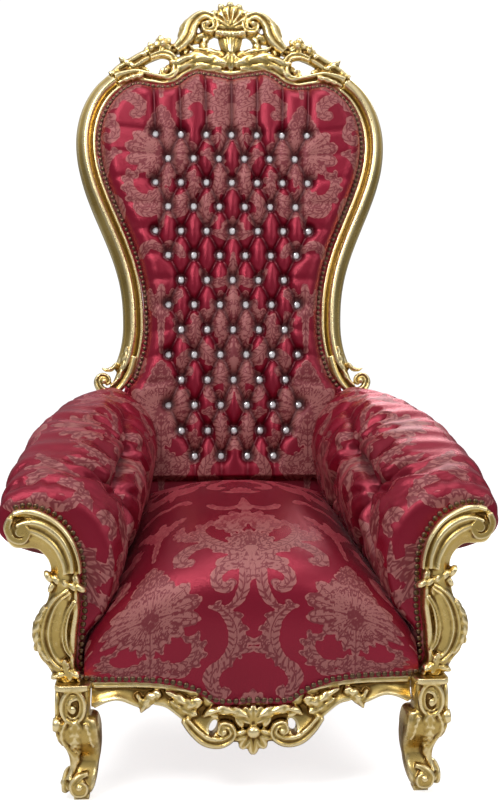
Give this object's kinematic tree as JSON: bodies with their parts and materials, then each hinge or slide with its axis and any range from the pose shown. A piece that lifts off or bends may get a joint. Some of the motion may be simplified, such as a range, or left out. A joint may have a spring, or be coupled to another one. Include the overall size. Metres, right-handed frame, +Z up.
{
  "type": "throne chair",
  "caption": "High-back throne: carved gilded frame with pierced crest and scroll legs, deep-buttoned crimson damask back, padded scroll arms and crowned seat",
  "frame": {"origin": "on the floor under the middle of the throne's bounding box", "axes": "+Z up along the longest extent, +X to the right as seen from the front, front towards -Y"},
  "size_m": [0.9018, 0.7915, 1.6031],
  "materials": {
    "gold_leaf": "burnished gold leaf over carved wood, brown patina in the recesses",
    "damask": "crimson satin damask with a dusty rose leaf and flower figure"
  },
  "bodies": {
    "root": {"front_leg_right": "gold_leaf", "front_leg_left": "gold_leaf", "rear_post_right": "gold_leaf", "rear_post_left": "gold_leaf", "arm_post_right": "gold_leaf", "arm_post_left": "gold_leaf", "front_rail": "gold_leaf", "side_rail_right": "gold_leaf", "side_rail_left": "gold_leaf", "rear_rail": "gold_leaf", "crest_rail": "gold_leaf", "seat_cushion": "damask", "arm_pad_right": "damask", "arm_pad_left": "damask", "back_pad": "damask", "back_panel": "damask"}
  },
  "joints": []
}
